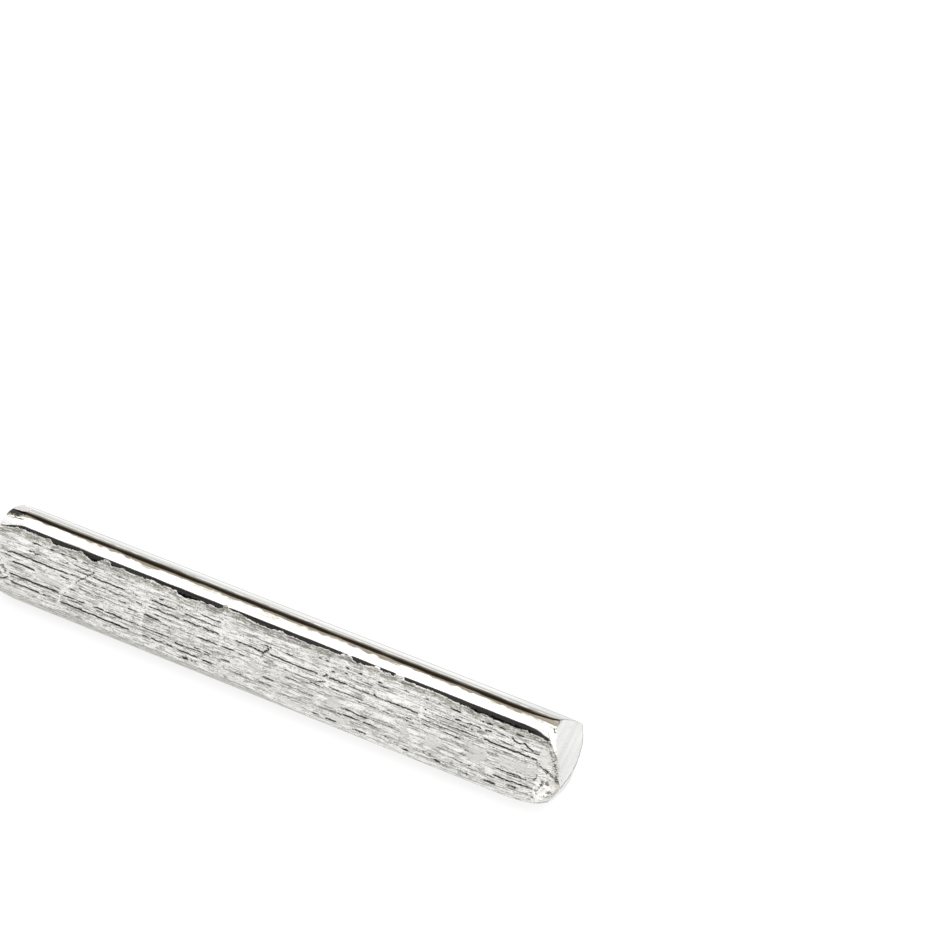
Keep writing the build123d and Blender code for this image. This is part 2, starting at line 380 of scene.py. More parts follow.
def smooth_noise(across, along, seed):
    """Value noise from -1 to 1.

    Random heights on a unit lattice, joined in both directions by the smooth
    step that starts and ends level.
    """
    heights = np.random.default_rng(seed).uniform(-1, 1, (LATTICE, LATTICE))
    column = np.floor(across).astype(int)
    row = np.floor(along).astype(int)
    a = across - column
    b = along - row
    a = a * a * a * (a * (a * 6 - 15) + 10)
    b = b * b * b * (b * (b * 6 - 15) + 10)

    def along_row(number):
        left = heights[number % LATTICE, column % LATTICE]
        right = heights[number % LATTICE, (column + 1) % LATTICE]
        return left * (1 - a) + right * a

    return along_row(row) * (1 - b) + along_row(row + 1) * b


def rough_noise(across, along, seed, octaves=3):
    """Smooth noise with each further layer half as high and twice as fine."""
    layers = [smooth_noise(across * 2**n, along * 2**n, seed + n) / 2**n for n in range(octaves)]
    return sum(layers) / (2 - 2 ** (1 - octaves))


def ease(value, start, end):
    """0 before start and 1 after end, with a smooth step between them."""
    t = np.clip((value - start) / (end - start), 0, 1)
    return t * t * (3 - 2 * t)


def between(value, start, full, fade, end):
    """1 from full to fade and 0 outside start and end, with smooth steps."""
    return ease(value, start, full) * (1 - ease(value, fade, end))


def bell(value, width):
    """1 at nought, falling away on both sides as a bell curve does."""
    return np.exp(-((value / width) ** 2))


def terraces(height, step, riser):
    """The height rounded down to treads one step apart, joined by smooth risers.

    A riser takes the given share of the climb from one tread to the next.
    """
    level = height / step
    tread = np.floor(level)
    return step * (tread + ease(level - tread, 1 - riser, 1.0))


# The bar's smooth form

class Trough:
    """The section's outline from the foot of the low bend, up the free face and round the back."""

    # Points on each bend and on the flat that follows it
    columns = (24, 112, 60, 10, 8, 8, 8, 8)

    def __init__(self, section):
        draft = section.mould_draft
        mould_side = section.casting_depth / math.cos(draft)
        mould_floor = section.free_face_width - 2 * section.casting_depth * math.tan(draft)
        up_free_face = np.array([math.sin(draft), math.cos(draft)])
        down_upper_side = np.array([math.cos(2 * draft), -math.sin(2 * draft)])
        along_floor = np.array([1.0, 0.0])

        low_edge = np.zeros(2)
        high_edge = up_free_face * section.free_face_width
        low_corner = along_floor * mould_side
        high_corner = low_corner + up_free_face * mould_floor
        self.sharp_corners = np.array([low_edge, high_edge, high_corner, low_corner])

        face_bend = section.bend_on_free_face
        side_bend = section.bend_on_mould_side
        corner_bend = section.mould_corner_bend

        def bend(corner, towards_start, start_setback, towards_end, end_setback):
            start = corner + towards_start * start_setback
            end = corner + towards_end * end_setback
            return start, corner, end

        self.outline = self.walk([
            bend(low_edge, along_floor, side_bend, up_free_face, face_bend),
            bend(high_edge, -up_free_face, face_bend, down_upper_side, side_bend),
            bend(high_corner, -down_upper_side, corner_bend, -up_free_face, corner_bend),
            bend(low_corner, up_free_face, corner_bend, -along_floor, corner_bend),
        ])
        centre = (self.outline[:, 0].min() + self.outline[:, 0].max()) / 2
        self.to_row_frame = np.array([-centre, 0.0])
        steps = np.linalg.norm(np.roll(self.outline, -1, axis=0) - self.outline, axis=1)
        self.girth = np.concatenate([[0.0], np.cumsum(steps)[:-1]])
        run = np.roll(self.outline, -1, axis=0) - np.roll(self.outline, 1, axis=0)
        outward = np.stack([-run[:, 1], run[:, 0]], axis=1)
        self.outward = outward / np.linalg.norm(outward, axis=1)[:, None]

    def walk(self, bends):
        """Points round the outline: each bend is a quadratic curve drawn towards its
        sharp corner, and a straight run joins it to the next bend."""
        stretches = []
        for number, (start, corner, end) in enumerate(bends):
            t = np.linspace(0, 1, self.columns[2 * number], endpoint=False)[:, None]
            stretches.append((1 - t) ** 2 * start + 2 * t * (1 - t) * corner + t**2 * end)
            t = np.linspace(0, 1, self.columns[2 * number + 1], endpoint=False)[:, None]
            following = bends[(number + 1) % len(bends)][0]
            stretches.append(end + (following - end) * t)
        return np.concatenate(stretches)


class CroppedEnd:
    """One end, drawn in and cut by two wedge blades that met along a bowed ridge.

    The depth of a point is its distance inwards from the bowed ridge.
    """

    def __init__(self, trough, ends, side):
        name = "right" if side > 0 else "left"
        turn = getattr(ends, name + "_ridge_angle")
        self.side = side
        self.reach = getattr(ends, name + "_draw_reach")
        self.narrowing = getattr(ends, name + "_narrowing")
        self.even_share = ends.even_share
        self.along_ridge = np.array([math.cos(turn), math.sin(turn)])
        self.up_stroke = np.array([-math.sin(turn), math.cos(turn)])
        heights = trough.sharp_corners @ self.up_stroke
        places = trough.sharp_corners @ self.along_ridge
        self.opening = np.ptp(heights)
        self.ridge_height = heights.min() + getattr(ends, name + "_meeting_share") * self.opening
        self.still_place = places.min() + ends.narrowing_centre * np.ptp(places)
        self.bow_place = places.min() + ends.bow_centre * np.ptp(places)
        self.bow = ends.ridge_bow
        self.land = ends.ridge_land
        self.half_angle = ends.blade_half_angle
        self.hollow = ends.blade_hollow

    def drawn_in(self, points, inwards):
        """Section points moved along the ridge towards the place that stays put.

        The move is a share of the distance to that place. It grows as the fourth
        power of the nearness to the ridge, with a small part that grows evenly.
        """
        nearness = np.clip(1 - inwards / self.reach, 0, 1)
        draw = self.even_share * nearness + (1 - self.even_share) * nearness**4
        offset = points @ self.along_ridge - self.still_place
        return points - (offset * self.narrowing * draw)[..., None] * self.along_ridge

    def depth(self, place, inwards):
        """Distance inwards from the ridge, which is an arc in plan."""
        from_axis = np.hypot(self.bow - inwards, place - self.bow_place)
        return np.where(inwards < self.bow, self.bow - from_axis, inwards)

    def inwards(self, place, depth):
        """The reverse of depth: distance inwards from the ridge's furthest point."""
        from_axis = (self.bow - depth) ** 2 - (place - self.bow_place) ** 2
        return self.bow - np.sqrt(np.clip(from_axis, 0, None))

    def gap(self, depth):
        """Half the gap between the blades: a wedge, hollowed by a shallow arch."""
        far = self.opening * math.tan(self.half_angle)
        along = np.clip(depth / far, 0, None)
        wedge = self.land / 2 + (self.opening - self.land / 2) * along
        hollow = 4 * self.hollow / math.sin(self.half_angle) * along * (1 - np.clip(along, 0, 1))
        return wedge - hollow

    def place_and_height(self, points):
        """Section points as place along the ridge and height over it."""
        return points @ self.along_ridge, points @ self.up_stroke - self.ridge_height

    def section_point(self, place, height):
        """Back from place and height to the section's own two axes."""
        height = height + self.ridge_height
        return place[..., None] * self.along_ridge + height[..., None] * self.up_stroke


class IngotSurface:
    """The whole bar as one closed grid: rows along the bar, columns round the section."""

    # Rows stand closer together over this share of the bar at each end
    end_stretch = 0.05
    end_rows = 34
    middle_rows = 312

    # Rows over a facet, and the points along its ridge that the columns share
    facet_rows = 13
    ridge_points = 24

    # How often the search for a facet's border halves its stretch
    halvings = 22

    # How far the land is torn inwards, the length of one tear, and the distance
    # from the ridge over which the tearing fades
    tear_depth = 0.12 * MM
    tear_length = 0.6 * MM
    tear_fade = 0.5 * MM
    tear_seed = 31

    def __init__(self, settings):
        self.trough = Trough(settings.ingot_section)
        self.skin = Skin(self.trough.girth, settings.ingot_skin)
        self.half_length = (BAR_HIGH.x - BAR_LOW.x) / 2
        self.ends = [CroppedEnd(self.trough, settings.ingot_ends, side) for side in (-1, 1)]

    def body(self, x):
        """Section points at the stations x, an array of rows by columns.

        The outline is moved outwards by the skin's relief, then drawn in towards
        whichever ridge is near.
        """
        relief = self.skin.relief(x)
        points = self.trough.outline + relief[..., None] * self.trough.outward
        for end in self.ends:
            points = end.drawn_in(points, self.half_length - end.side * x)
        return points

    def facet_border(self, end):
        """How far inwards each column meets the blade's facet, found by halving."""
        low = np.zeros(len(self.trough.outline))
        high = np.full(len(self.trough.outline), end.reach)
        for _ in range(self.halvings):
            middle = (low + high) / 2
            station = end.side * (self.half_length - middle)
            place, height = end.place_and_height(self.body(station[None])[0])
            depth = end.depth(place, middle)
            inside = (depth > 0) & (np.abs(height) < end.gap(depth))
            high = np.where(inside, middle, high)
            low = np.where(inside, low, middle)
        return high

    def facet(self, end, border, border_points):
        """Rows that run over the facet from its border to the ridge.

        Each column moves evenly to its point on the ridge while its depth falls
        evenly to nothing, and its height is that of the blade. The last row runs
        along the middle of the land. Columns share the ridge's points, so the two
        facets meet there without a gap.
        """
        place, height = end.place_and_height(border_points)
        depth = np.clip(end.depth(place, border), 0, None)
        crosses = height * np.roll(height, -1) < 0
        mix = height / (height - np.roll(height, -1))
        crossing = (place + (np.roll(place, -1) - place) * mix)[crosses]
        low = crossing.min()
        high = crossing.max()
        shared = np.round(np.clip((place - low) / (high - low), 0, 1) * (self.ridge_points - 1))
        target = low + (high - low) * shared / (self.ridge_points - 1)
        t = np.linspace(0, 1, self.facet_rows + 1)[1:, None]
        level = np.zeros((1, len(place)))
        row_place = np.concatenate([place + (target - place) * t, target[None]])
        row_depth = np.concatenate([depth * (1 - t), level])
        row_height = np.concatenate([np.sign(height) * end.gap(depth * (1 - t)), level])
        tear = self.tear_depth * smooth_noise(row_place / self.tear_length, row_place * 0, self.tear_seed)
        tear = tear * ease(-row_depth, -self.tear_fade, 0)
        row_inwards = end.inwards(row_place, row_depth) + np.abs(tear)
        x = end.side * (self.half_length - row_inwards)
        return x, end.section_point(row_place, row_height), row_place

    def build(self):
        """The grid and the finish at each of its points.

        Returns the points as rows by columns by three, and a table of named
        values for the material. They go from 0 to 1, and only the place along
        the blade goes further: it is given in centimetres.
        """
        left, right = self.ends
        left_border = self.facet_border(left)
        right_border = self.facet_border(right)
        stretch = self.end_stretch
        v = np.concatenate([
            np.linspace(0, stretch, self.end_rows, endpoint=False),
            np.linspace(stretch, 1 - stretch, self.middle_rows, endpoint=False),
            np.linspace(1 - stretch, 1, self.end_rows),
        ])[:, None]
        start = -self.half_length + left_border
        stop = self.half_length - right_border
        x = start + (stop - start) * v
        points = self.body(x)
        finish = self.skin.finish(x, stop - x)
        left_x, left_points, left_place = self.facet(left, left_border, points[0])
        right_x, right_points, right_place = self.facet(right, right_border, points[-1])

        finish = {name: np.concatenate([0 * left_x, value, 0 * right_x]) for name, value in finish.items()}
        finish["facet"] = np.concatenate([left_x * 0 + 1, x * 0, right_x * 0 + 1])
        # Dark lines at the facet borders and along the ridges: burr with painted shade
        rim = np.zeros(x.shape)
        rim[[0, -1]] = 0.25 + 0.6 * ease(self.trough.girth, 19 * MM, 20 * MM)
        left_rim = np.zeros(left_x.shape)
        right_rim = np.zeros(right_x.shape)
        left_rim[-1] = 1
        right_rim[-1] = 1
        finish["rim"] = np.concatenate([left_rim[::-1], rim, right_rim])
        blade_place = np.concatenate([left_place[::-1], x * 0, right_place])
        finish["blade_place"] = blade_place / (10 * MM)
        x = np.concatenate([left_x[::-1], x, right_x])
        points = np.concatenate([left_points[::-1], points, right_points])
        points = points + self.trough.to_row_frame
        return np.concatenate([x[..., None], points], axis=-1), finish


# The skin of the free face

def distance_to_line(x, height, points):
    """Distance from each place on the face to a line through the given points."""
    nearest = np.full(x.shape, np.inf)
    for (start_x, start_height), (end_x, end_height) in zip(points, points[1:]):
        run_x = (end_x - start_x) * MM
        run_height = (end_height - start_height) * MM
        away_x = x - start_x * MM
        away_height = height - start_height * MM
        along = np.clip((away_x * run_x + away_height * run_height) / (run_x**2 + run_height**2), 0, 1)
        nearest = np.minimum(nearest, np.hypot(away_x - along * run_x, away_height - along * run_height))
    return nearest


def patch(x, height, middle_x, middle_height, half_length, half_width, raggedness):
    """1 inside an oval with a ragged edge, 0 outside."""
    across = (x / MM - middle_x) / half_length
    up = (height / MM - middle_height) / half_width
    return 1 - ease(across**2 + up**2 + raggedness, 0.6, 1.2)


class Skin:
    """The free face's skin: shelves left by the drag, seams, folds and its edge.

    All of it is worked out from x, the place along the bar, and the height of
    each column up the section's outline.
    """

    # The dent at the left, as a share of that at the right
    left_dent = 0.3

    # How much further down the skin reaches at the right
    lower_at_right = 1.2 * MM

    def __init__(self, girth, sizes):
        self.girth = girth
        self.sizes = sizes

    def noise(self, x, across_size, up_size, number, octaves=2):
        """Rough noise whose grains have the given sizes in millimetres."""
        across = x / (across_size * MM)
        up = self.girth / (up_size * MM)
        return rough_noise(across, up, self.sizes.seed + number, octaves)

    def above_edge(self, x):
        """Height over the skin's ragged upper edge."""
        edge = np.interp(x / MM, *np.array(SKIN_EDGE).T) * MM
        ragged = 0.17 * MM * self.noise(x, 0.5, 0.4, 50, 3)
        return self.girth - edge + ragged

    def beside_right(self, x):
        """0 on the sound bar, rising to 1 where the upper edge meets the right facet."""
        return ease(x, 42.8 * MM, 48.0 * MM)

    def beside_left(self, x):
        """The same at the left facet."""
        return ease(-x, 43.4 * MM, 48.4 * MM)

    def dent(self, x):
        """The upper bend pushed in beside each facet, by an arch from its start to its back."""
        arch = 0.5 - 0.5 * np.cos(2 * np.pi * np.clip((self.girth / MM - 15.0) / 5.4, 0, 1))
        left = self.left_dent * ease(-x, 40 * MM, 48.4 * MM)
        return self.sizes.dent_depth * np.maximum(left, self.beside_right(x)) * arch

    def roll(self, x):
        """The right facet's front border rolled over, as the square of the nearness to it."""
        edge = np.interp(self.girth / MM, *np.array(ROLLED_EDGE).T) * MM
        band = between(self.girth / MM, 9, 11, 19.5, 21)
        nearness = np.clip(1 - (edge - x) / (1.3 * MM), 0, 1.2)
        return self.sizes.roll_depth * band * nearness**2

    def cover(self, x):
        """1 where the skin lies, 0 on the clean metal of the bends and mould sides."""
        upper = 1 - ease(self.above_edge(x), -0.05 * MM, 0.05 * MM)
        bottom = self.sizes.skin_bottom - self.lower_at_right * ease(x, -8 * MM, 14 * MM)
        lower = self.girth - bottom + 0.25 * MM * self.noise(x, 1.5, 9, 51, 3)
        return upper * ease(lower, -0.15 * MM, 0.15 * MM)

    def broken(self, x):
        """How far the drag lines are broken off by the pale seams, from 0 to 1."""
        worst = np.zeros(x.shape)
        for points in PALE_SEAMS:
            distance = distance_to_line(x, self.girth, points) + 0.35 * MM * self.noise(x, 0.8, 0.6, 40, 3)
            worst = np.maximum(worst, 1 - ease(distance, 0.0, 0.35 * MM))
        return worst

    def drag(self, x):
        """The shelves left by the drag lines, as relief and as dark oxide with painted shade in the
        grooves.

        Going up the face, the skin steps in at each line and comes back out over
        the next millimetre. A low lip stands just under the step.
        """
        relief = np.zeros(x.shape)
        dross = np.zeros(x.shape)
        whole = 1 - self.broken(x)
        for number, (start, end, height, strength) in enumerate(DRAG_LINES):
            lane = np.full(x.shape, 3.7 * number)
            wander = 0.07 * smooth_noise(x / (1.1 * MM), lane, self.sizes.seed + 20)
            wander = wander + 0.06 * smooth_noise(x / (0.4 * MM), lane, self.sizes.seed + 21)
            over = self.girth / MM - height - wander
            taper = between(x / MM, start - 0.2, start + 0.35, end - 0.35, end + 0.2)
            gaps = smooth_noise(x / (0.7 * MM), lane, self.sizes.seed + 22) * 0.5 + 0.5
            unbroken = ease(gaps, -0.5 + 0.5 * (1 - strength), 0.6 - 0.3 * strength)
            force = taper * whole * strength * unbroken
            step = -ease(over, -0.14, 0.12) * np.exp(-np.clip(over, 0, None) / 0.7)
            lip = 0.35 * bell(over + 0.26, 0.16)
            relief += self.sizes.shelf_drop * force * (step + lip)
            # The line's dark oxide, with painted shade in its groove
            dross = np.maximum(dross, 1.65 * force * bell(over, 0.09))
        return relief, dross

    def seams(self, x):
        """The dark seams, as relief and as dark oxide with painted shade in the grooves."""
        relief = np.zeros(x.shape)
        dross = np.zeros(x.shape)
        ragged = 0.07 * MM * self.noise(x, 0.4, 0.3, 60)
        for strength, *points in DARK_SEAMS:
            line = bell(distance_to_line(x, self.girth, points) + ragged, 0.13 * MM)
            relief -= 0.5 * self.sizes.shelf_drop * strength * line
            dross = np.maximum(dross, strength * line)
        return relief, dross

    def patches(self, x, ovals, number):
        """1 inside any of the given ovals."""
        raggedness = 0.8 * self.noise(x, 1.1, 0.45, number, 3)
        inside = np.zeros(x.shape)
        for oval in ovals:
            inside = np.maximum(inside, patch(x, self.girth, *oval, raggedness))
        return inside

    def relief(self, x):
        """Height over the smooth section at the stations x."""
        sizes = self.sizes
        drag, _ = self.drag(x)
        seams, _ = self.seams(x)
        rough = 1 - 0.8 * self.patches(x, GREY_PATCHES, 70)
        folds = sizes.fold_height * self.noise(x, 1.6, 0.26, 1, 3)
        swell = 2 * sizes.fold_height * terraces(1.6 * self.noise(x, 5.0, 0.8, 2, 3), 0.5, 0.3)
        crumple = self.patches(x, CRUMPLED, 90) * sizes.crumple_height * self.noise(x, 0.6, 0.5, 91, 3)
        rim = 0.5 * sizes.skin_height * bell(self.above_edge(x) / MM + 0.2, 0.13)
        clean = between(self.girth / MM, 17, 19, 22, 24)
        wrinkles = clean * 0.02 * MM * self.noise(x, 2.6, 1.1, 5, 2)
        skin = sizes.skin_height + rough * (folds + swell) + rim + drag + seams - 0.02 * MM
        return self.cover(x) * (skin + crumple) + wrinkles - self.dent(x) - self.roll(x)

    def painted_highlight_wedges(self, x, height, from_right):
        """The painted highlights beside the right facet and beside the left one."""
        width = np.interp(height, *np.array(RIGHT_WEDGE).T) + 0.001
        right = (1 - ease(from_right / MM / width, 0.6, 1.0)) * between(height, 13.5, 13.8, 17.2, 17.6)
        over_edge = height - np.interp(x / MM, *np.array(LEFT_BRIGHT_EDGE).T)
        left = ease(over_edge, 0.0, 0.15) * ease(-x / MM, 43.8, 44.6) * (1 - ease(height, 17.8, 18.2))
        return np.maximum(right, left)

    def finish(self, x, from_right):
        """Values from 0 to 1 for the material, at each point of the body."""
        cover = self.cover(x)
        _, drag = self.drag(x)
        _, seams = self.seams(x)
        over = self.above_edge(x) / MM
        height = np.broadcast_to(self.girth / MM, x.shape)
        beside = np.maximum(self.beside_left(x), self.beside_right(x))
        wedge = self.painted_highlight_wedges(x, height, from_right)
        grey = self.patches(x, GREY_PATCHES, 70) * cover

        # The skin's upper edge: a bright rim, with an olive strip below it
        rim = bell(over + 0.17, 0.1) * ease(self.noise(x, 1.2, 9, 73, 3), 0.0, 0.5)
        strip = between(-over, 0, 0.25, 0.6, 1.3)
        rubbed = np.maximum(0.7 * self.patches(x, BRIGHT_PATCHES, 71), 0.75 * self.broken(x))
        pale = np.maximum(rubbed * cover, 0.4 * rim)

        # The back of the upper bend, and the left tip, where its dark band is a painted dark reflection
        # and the paler metal behind it a painted reflection
        back = height + 0.8 * self.beside_left(x) + 0.28 * self.noise(x, 1.0, 9, 76, 3)
        ragged_back = back + 0.65 * ease(self.noise(x, 3.2, 9, 77, 3), -0.25, 0.6)
        tip = ease(self.beside_left(x) + 0.2 * self.noise(x, 1.0, 1.2, 78, 3), 0.05, 0.5)
        # The tip's dark band: a painted dark reflection
        tip_band = tip * (0.45 * ease(back, 18.6, 19.0) + 0.5 * ease(back, 19.3, 19.6))
        tip_band = tip_band * (1 - ease(back, 20.2, 20.7))
        # The paler metal behind the tip's band: a painted reflection, laid as smooth grey skin
        tip_flank = tip * ease(back, 20.3, 20.8) * (1 - ease(height, 22.0, 23.0))

        # The dark marks: oxide and painted groove shade at the drag lines and seams, and a painted dark
        # reflection at the foot of the bright bend and at the tip
        face = ease(height, 5.2, 6.2)
        # A painted dark reflection along the foot of the bright bend, where the skin stops
        foot = between(height, 14, 15, 16.6, 17) * (1 - ease(beside, 0.0, 0.5))
        dross = np.maximum(drag * cover * face, seams)
        dross = np.maximum(dross, foot * (1 - ease(cover, 0.1, 0.5)))
        dross = np.maximum(dross, tip_band)

        near_facet = 1 - ease(from_right, 0.4 * MM, 1.5 * MM)
        zones = {name: between(height, *limits) for name, limits in ZONES.items()}
        return {
            **zones,
            # Skin colours also cover the painted highlight wedges and the tip's painted reflection
            "skin": np.maximum(cover, np.maximum(wedge, tip_flank)),
            "dross": np.clip(dross * (1 - wedge), 0, 1),
            # Pale rubbed metal and the skin's bright rim, and the painted highlight wedges
            "pale": np.maximum(pale, wedge),
            "olive": strip * cover * (1 - wedge),
            # A warm dark strip along the lower edge of the brown band
            "warm": ease(ragged_back, 18.7, 19.3) * (1 - ease(back, 19.2, 19.5)) * (1 - cover) * (1 - tip),
            # Brown tarnish and painted dark reflection behind the upper bend
            "brown": between(back, 18.75, 19.2, 20.5, 21.4),
            # Painted shade: the face darker towards its foot
            "low": 1 - ease(height, 9.5, 13.0),
            # Smooth grey patches, and the tip's painted reflection
            "grey": np.maximum(grey, 0.9 * tip_flank),
            "crumpled": self.patches(x, CRUMPLED, 90) * cover,
            "creased": near_facet * (1 - wedge) * between(height, 5, 6, 17, 18),
        }


# Meshes

def closed_mesh(name, grid, finish):
    """A mesh from a grid of rows by columns that is closed round its columns.

    Quads join each row to the next. The first and last rows fold flat onto the
    ridges, where points that fall together are merged.
    """
    rows, columns, _ = grid.shape
    start = np.arange(rows - 1)[:, None] * columns
    here = np.arange(columns)[None]
    beside = (here + 1) % columns
    ahead = start + columns
    quads = np.stack([ahead + here, ahead + beside, start + beside, start + here], axis=-1)
    mesh = bpy.data.meshes.new(name)
    mesh.from_pydata(grid.reshape(-1, 3).tolist(), [], quads.reshape(-1, 4).tolist())
    for label, values in finish.items():
        attribute = mesh.attributes.new(label, "FLOAT", "POINT")
        attribute.data.foreach_set("value", values.ravel().astype(np.float32))
    work = bmesh.new()
    work.from_mesh(mesh)
    bmesh.ops.remove_doubles(work, verts=work.verts, dist=WELD_DISTANCE)
    bmesh.ops.recalc_face_normals(work, faces=work.faces)
    work.to_mesh(mesh)
    work.free()
    mesh.update()
    return mesh


def shade(mesh, crease):
    """Smooth shading, with edges sharper than crease left crisp."""
    mesh.polygons.foreach_set("use_smooth", np.ones(len(mesh.polygons), bool))
    mesh.set_sharp_from_angle(angle=crease)


# Materials

def new_material(name):
    """An empty node material with its output and shader."""
    material = bpy.data.materials.new(name)
    material.use_nodes = True
    nodes = material.node_tree.nodes
    nodes.clear()
    output = nodes.new("ShaderNodeOutputMaterial")
    shader = nodes.new("ShaderNodeBsdfPrincipled")
    material.node_tree.links.new(shader.outputs["BSDF"], output.inputs["Surface"])
    return material, shader


def painted(tree, name):
    """The output of a value that the mesh carries at each point."""
    node = tree.nodes.new("ShaderNodeAttribute")
    node.attribute_name = name
    return node.outputs["Fac"]


def feed(tree, socket, value):
    """Links a socket to another one, or gives it a plain number or colour."""
    if isinstance(value, bpy.types.NodeSocket):
        tree.links.new(value, socket)
    elif isinstance(value, tuple):
        socket.default_value = (*value, 1)
    else:
        socket.default_value = value


def blend(tree, factor, under, over):
    """A colour or number that goes from under to over as factor goes from 0 to 1.

    Each of the three may be a socket or a plain value.
    """
    is_colour = isinstance(over, tuple) or getattr(over, "type", "") == "RGBA"
    node = tree.nodes.new("ShaderNodeMix")
    node.data_type = "RGBA" if is_colour else "FLOAT"
    sockets = [socket for socket in node.inputs if socket.enabled]
    for socket, value in zip(sockets, (factor, under, over)):
        feed(tree, socket, value)
    return next(socket for socket in node.outputs if socket.enabled)


def maths(tree, operation, *values):
    """The result of a math node on sockets and plain numbers."""
    node = tree.nodes.new("ShaderNodeMath")
    node.operation = operation
    for socket, value in zip(node.inputs, values):
        feed(tree, socket, value)
    return node.outputs["Value"]


def product(tree, first, second):
    """Two sockets, or a socket and a plain number, multiplied."""
    return maths(tree, "MULTIPLY", first, second)


def grain(tree, vector, stretch, detail):
    """Noise with a different scale along each axis."""
    mapping = tree.nodes.new("ShaderNodeMapping")
    mapping.inputs["Scale"].default_value = stretch
    tree.links.new(vector, mapping.inputs["Vector"])
    noise = tree.nodes.new("ShaderNodeTexNoise")
    noise.inputs["Scale"].default_value = 1.0
    noise.inputs["Detail"].default_value = detail
    noise.inputs["Roughness"].default_value = 0.6
    tree.links.new(mapping.outputs["Vector"], noise.inputs["Vector"])
    return noise.outputs["Fac"]


def remapped(tree, value, low, high):
    """0 at low and 1 at high, clamped."""
    node = tree.nodes.new("ShaderNodeMapRange")
    node.inputs["From Min"].default_value = low
    node.inputs["From Max"].default_value = high
    tree.links.new(value, node.inputs["Value"])
    return node.outputs["Result"]


def torn(tree, mask, noise, reach, low, high):
    """A painted value with its soft edge made ragged.

    The noise, less a half, is added reach times over. The sum becomes 0 below low
    and 1 above high.
    """
    raised = maths(tree, "MULTIPLY_ADD", noise, reach, mask)
    return remapped(tree, raised, low + reach / 2, high + reach / 2)


def coats(tree, under, *layers):
    """A colour or number with others laid over it in turn.

    Each layer is its mask, a share that the mask is scaled by, and what it lays on.
    """
    for mask, share_of_mask, over in layers:
        factor = mask if share_of_mask == 1 else product(tree, mask, share_of_mask)
        under = blend(tree, factor, under, over)
    return under


def darker(value, factor):
    """A colour times a plain factor."""
    return tuple(channel * factor for channel in value)


def skin_marks(tree, grains):
    """The masks of the skin: where it is smooth, pitted, raised, scored and so on."""
    mottle = grains["mottle"]
    texture = blend(tree, 0.4, grains["dashes"], grains["specks"])
    smooth = torn(tree, painted(tree, "grey"), mottle, 3.0, 0.2, 1.0)
    lively = remapped(tree, smooth, 1.6, 0.0)
    return {
        "texture": texture,
        "smooth": smooth,
        "lively": lively,
        "pits": product(tree, remapped(tree, texture, 0.485, 0.415), lively),
        "crests": product(tree, remapped(tree, texture, 0.50, 0.56), lively),
        "scores": product(tree, remapped(tree, grains["threads"], 0.45, 0.37), lively),
        "olive": torn(tree, painted(tree, "olive"), mottle, 2.0, 0.2, 0.8),
        "pale": torn(tree, painted(tree, "pale"), texture, 2.0, 0.2, 0.8),
        "crumpled": torn(tree, painted(tree, "crumpled"), mottle, 2.5, 0.2, 0.8),
    }


def skin_colour(tree, finish, grains, marks):
    """The dull skin, with its tarnish, pits, crests and scores laid over it, painted shade towards its
    foot, and the crumpled metal's painted highlight and shade.
    """
    own = tuple(finish.skin_tin)
    pale = tuple(finish.pale_tin)
    # The crumpled metal: a painted highlight, with its cracks as painted shade
    cracks = remapped(tree, grains["flakes"], 0.49, 0.40)
    crumpled = blend(tree, cracks, tuple(finish.crumpled_tin), CRACK_TONE)
    return coats(
        tree,
        own,
        # Painted shade: the face darker towards its foot
        (painted(tree, "low"), 0.32, darker(own, 0.58)),
        (marks["olive"], 0.9, tuple(finish.olive_tarnish)),
        (marks["pits"], 0.62, darker(own, 0.25)),
        (marks["crests"], 0.6, pale),
        (marks["scores"], 0.65, darker(own, 0.18)),
        (marks["smooth"], 0.5, darker(own, 0.68)),
        # Pale rubbed metal, and the painted highlight wedges
        (marks["pale"], 0.75, pale),
        (marks["crumpled"], 1, crumpled),
    )


def clean_colour(tree, finish, grains, texture):
    """The clean metal of the bends and mould sides: its streaks, a warm strip, brown tarnish with painted
    dark reflection, and painted reflection and painted shade on the flank, the outline and the sole.
    """
    bands = grains["bands"]
    streaks = grains["streaks"]
    # The flank's painted dimmer reflection, and the painted dark reflection at its foot
    flank = blend(tree, remapped(tree, bands, 0.36, 0.56), *FLANK_TONES)
    foot = blend(tree, remapped(tree, bands, 0.6, 0.4), *FOOT_TONES)
    flank = blend(tree, painted(tree, "flank_foot"), flank, foot)
    # Painted shade on the sole
    sole = blend(tree, remapped(tree, texture, 0.40, 0.58), *SOLE_TONES)
    return coats(
        tree,
        tuple(finish.bright_tin),
        (remapped(tree, grains["sweep"], 0.5, 0.7), 0.25, SWEEP_TONE),
        (painted(tree, "flanks"), 1, flank),
        # Painted shade along the upper outline
        (painted(tree, "outline"), 0.85, OUTLINE_TONE),
        (painted(tree, "sole"), 0.95, sole),
        (torn(tree, painted(tree, "warm"), streaks, 3.0, 0.3, 1.3), 0.8, WARM_TONE),
        # Brown tarnish with painted dark reflection
        (torn(tree, painted(tree, "brown"), streaks, 2.4, 0.25, 0.75), 0.9, tuple(finish.brown_tarnish_and_reflection)),
    )


def blade_strokes(tree, place):
    """The fine strokes that a blade left down its facet."""
    across = tree.nodes.new("ShaderNodeVectorMath")
    across.operation = "DOT_PRODUCT"
    across.inputs[1].default_value = ACROSS_STROKES
    tree.links.new(place, across.inputs[0])
    blade = tree.nodes.new("ShaderNodeCombineXYZ")
    tree.links.new(product(tree, across.outputs["Value"], STROKES_PER_METRE), blade.inputs["X"])
    tree.links.new(product(tree, painted(tree, "blade_place"), 0.5), blade.inputs["Y"])
    return grain(tree, blade.outputs["Vector"], (1.0, 1.0, 1.0), 3.0)


